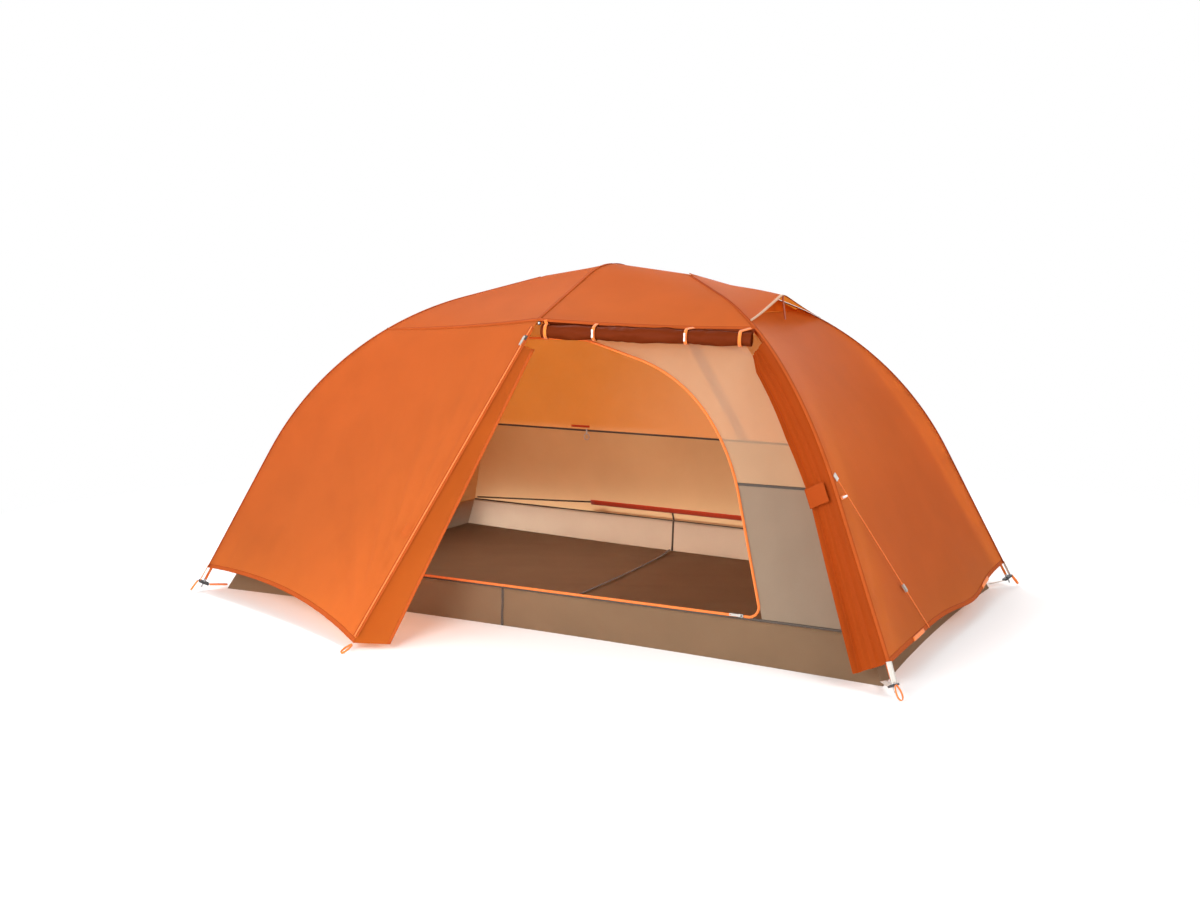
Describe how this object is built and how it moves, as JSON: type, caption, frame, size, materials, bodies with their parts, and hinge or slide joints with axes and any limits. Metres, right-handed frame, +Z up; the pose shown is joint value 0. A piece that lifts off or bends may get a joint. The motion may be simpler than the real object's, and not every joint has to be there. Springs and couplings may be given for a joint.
{
  "type": "two-person tent",
  "caption": "Freestanding tent with hubbed poles, mesh inner on a bathtub floor, and an orange fly whose front door is rolled up under its header.",
  "frame": {"origin": "on the ground under the middle of the ridge", "axes": "+X towards the foot end, -Y towards the open front, +Z up"},
  "size_m": [2.4533, 2.2092, 1.1167],
  "materials": {
    "pole": "anodised",
    "tip": "bare",
    "hub": "moulded",
    "shock_cord": "braided",
    "fly_cloth": "coated ripstop",
    "fly_lining": "coated ripstop, inner side",
    "inner_cloth": "uncoated ripstop",
    "inner_mesh": "fine mesh",
    "floor_cloth": "coated ripstop",
    "orange_web": "webbing",
    "grey_web": "webbing",
    "zip": "coil zip",
    "slider": "painted alloy",
    "pull": "moulded",
    "toggle": "moulded"
  },
  "bodies": {
    "tent": {"back_door_lower": "inner_cloth", "back_door_mesh": "inner_mesh", "back_wall_trim": "orange_web", "brow_pole": "pole", "brow_swivel": "hub", "corner_buckles": "hub", "corner_straps": "grey_web", "floor_tub": "floor_cloth", "fly_door_edge": "fly_lining", "fly_door_roll": "fly_lining", "fly_end_foot": "fly_cloth", "fly_end_head": "fly_cloth", "fly_ridge": "fly_cloth", "fly_roof_back_foot": "fly_cloth", "fly_roof_back_head": "fly_cloth", "fly_roof_front_foot": "fly_cloth", "fly_roof_front_head": "fly_cloth", "fly_vestibule_back_foot": "fly_cloth", "fly_vestibule_back_head": "fly_cloth", "fly_vestibule_front": "fly_cloth", "fly_webbing": "orange_web", "fly_zip_flap": "fly_cloth", "fly_zips": "zip", "guyline": "orange_web", "hubs": "hub", "inner_back_lower": "inner_cloth", "inner_back_mesh": "inner_mesh", "inner_ends": "inner_mesh", "inner_front_door": "inner_mesh", "inner_front_lower": "inner_cloth", "inner_front_mesh": "inner_mesh", "inner_roof": "inner_mesh", "inner_zips": "zip", "leg_pole_foot_back": "pole", "leg_pole_foot_front": "pole", "leg_pole_head_back": "pole", "leg_pole_head_front": "pole", "pole_clips": "hub", "pole_ferrules": "pole", "pole_tips": "tip", "ridge_pole": "pole", "roll_loops": "orange_web", "shock_cords": "shock_cord", "stake_loops": "orange_web", "vent_hood": "fly_cloth", "vent_screen": "inner_mesh"},
    "front_door_slider": {"inner_front_slider": "slider"},
    "front_door_pull": {"inner_front_pull": "pull"},
    "back_door_slider": {"inner_back_slider": "slider"},
    "back_door_pull": {"inner_back_pull": "pull"},
    "front_fly_slider": {"fly_front_slider": "slider"},
    "front_fly_pull": {"fly_front_pull": "pull"},
    "back_fly_slider": {"fly_back_slider": "slider"},
    "back_fly_pull": {"fly_back_pull": "pull"},
    "roll_toggle_left": {"roll_toggle_left": "toggle"},
    "roll_toggle_right": {"roll_toggle_right": "toggle"},
    "edge_toggle": {"edge_toggle": "toggle"},
    "vent_strut": {"vent_strut": "hub"},
    "keeper_ring": {"keeper_ring": "pull"},
    "line_tensioner": {"line_tensioner": "hub"}
  },
  "joints": [
    {"name": "front_door_zip", "type": "slide", "parent": "tent", "child": "front_door_slider", "axis": [-0.9992, -0.0412, 0], "range_m": [0, 1.12]},
    {"name": "back_door_zip", "type": "slide", "parent": "tent", "child": "back_door_slider", "axis": [0.9992, -0.0412, 0], "range_m": [0, 1.12]},
    {"name": "front_fly_zip", "type": "slide", "parent": "tent", "child": "front_fly_slider", "axis": [-0.2357, -0.5209, -0.8204], "range_m": [0, 0.96]},
    {"name": "back_fly_zip", "type": "slide", "parent": "tent", "child": "back_fly_slider", "axis": [-0.2357, -0.5209, 0.8204], "range_m": [0, 0.94]},
    {"name": "front_door_pull_swing", "type": "hinge", "parent": "front_door_slider", "child": "front_door_pull", "pos_m": [0.73377, -0.60139, 0.12981], "axis": [0.0139, -0.3382, -0.941], "range_deg": [-160, 0]},
    {"name": "back_door_pull_swing", "type": "hinge", "parent": "back_door_slider", "child": "back_door_pull", "pos_m": [-0.41925, 0.64894, 0.12981], "axis": [0.0139, 0.3382, -0.941], "range_deg": [-160, 0]},
    {"name": "front_fly_pull_swing", "type": "hinge", "parent": "front_fly_slider", "child": "front_fly_pull", "pos_m": [-0.02021, -0.5299, 0.885], "axis": [0.9715, -0.1059, -0.2119], "range_deg": [-160, 0]},
    {"name": "back_fly_pull_swing", "type": "hinge", "parent": "back_fly_slider", "child": "back_fly_pull", "pos_m": [0.2405, 1.02554, 0.10437], "axis": [-0.9715, 0.1059, -0.2119], "range_deg": [-160, 0]},
    {"name": "roll_toggle_left_turn", "type": "hinge", "parent": "tent", "child": "roll_toggle_left", "pos_m": [0.18523, -0.47094, 0.89529], "axis": [0.1884, -0.9821, -0.0051], "range_deg": [-60, 60]},
    {"name": "roll_toggle_right_turn", "type": "hinge", "parent": "tent", "child": "roll_toggle_right", "pos_m": [0.46648, -0.41694, 0.88764], "axis": [0.1884, -0.9821, -0.0051], "range_deg": [-60, 60]},
    {"name": "edge_toggle_turn", "type": "hinge", "parent": "tent", "child": "edge_toggle", "pos_m": [0.99957, -0.53334, 0.4749], "axis": [0.9075, 0, 0.4202], "range_deg": [-60, 60]},
    {"name": "vent_strut_fold", "type": "hinge", "parent": "tent", "child": "vent_strut", "pos_m": [0.61519, 0, 0.93347], "axis": [0, 1, 0], "range_deg": [0, 70], "deforming": ["vent_hood"]},
    {"name": "keeper_ring_swing", "type": "hinge", "parent": "tent", "child": "keeper_ring", "pos_m": [-0.41025, 0.50321, 0.48247], "axis": [1, 0, 0], "range_deg": [-20, 15]},
    {"name": "tensioner_slide", "type": "slide", "parent": "tent", "child": "line_tensioner", "axis": [0.3614, 0.4548, -0.814], "range_m": [-0.25, 0.08]}
  ]
}
